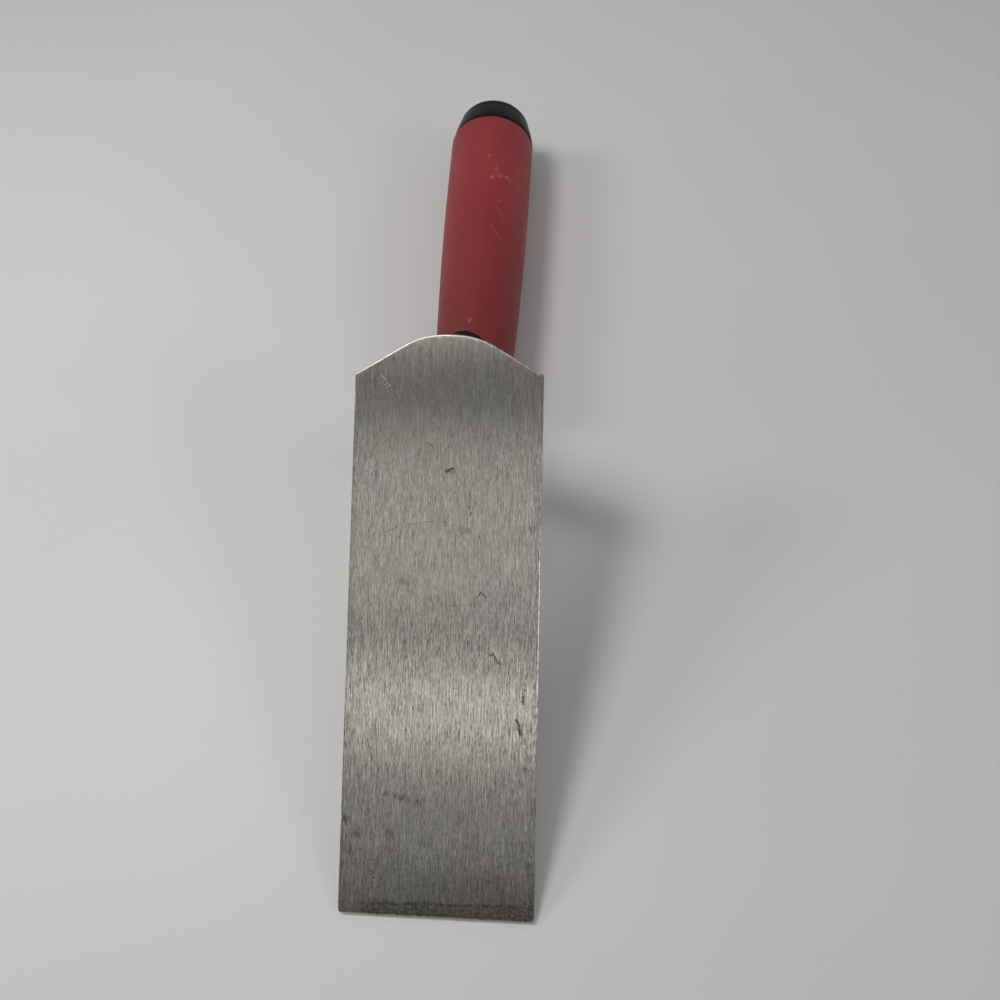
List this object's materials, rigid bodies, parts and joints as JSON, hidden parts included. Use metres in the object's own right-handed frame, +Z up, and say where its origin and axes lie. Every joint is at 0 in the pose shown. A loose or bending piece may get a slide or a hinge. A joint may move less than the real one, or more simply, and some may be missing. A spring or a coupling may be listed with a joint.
{
  "type": "margin trowel",
  "caption": "Margin trowel with a long square-tipped steel blade, crowned heel, gooseneck shank and a soft red grip on a black core.",
  "frame": {"origin": "on the ground under the middle of the tool as it lies on its back, blade face up", "axes": "+Y from the blade's tip to the handle's butt, +X across the blade, +Z up"},
  "size_m": [0.0508, 0.2832, 0.0657],
  "materials": {
    "blade_steel": "brushed lengthwise, bare, lightly stained",
    "shank_steel": "forged and ground, satin",
    "weld_metal": "as welded",
    "core_plastic": "moulded, fine grain",
    "grip_rubber": "soft touch, matte, scuffed",
    "cap_plastic": "moulded, satin"
  },
  "bodies": {
    "root": {"blade": "blade_steel", "shank": "shank_steel", "foot_weld": "weld_metal", "handle_core": "core_plastic", "soft_grip": "grip_rubber", "end_cap": "cap_plastic"}
  },
  "joints": []
}
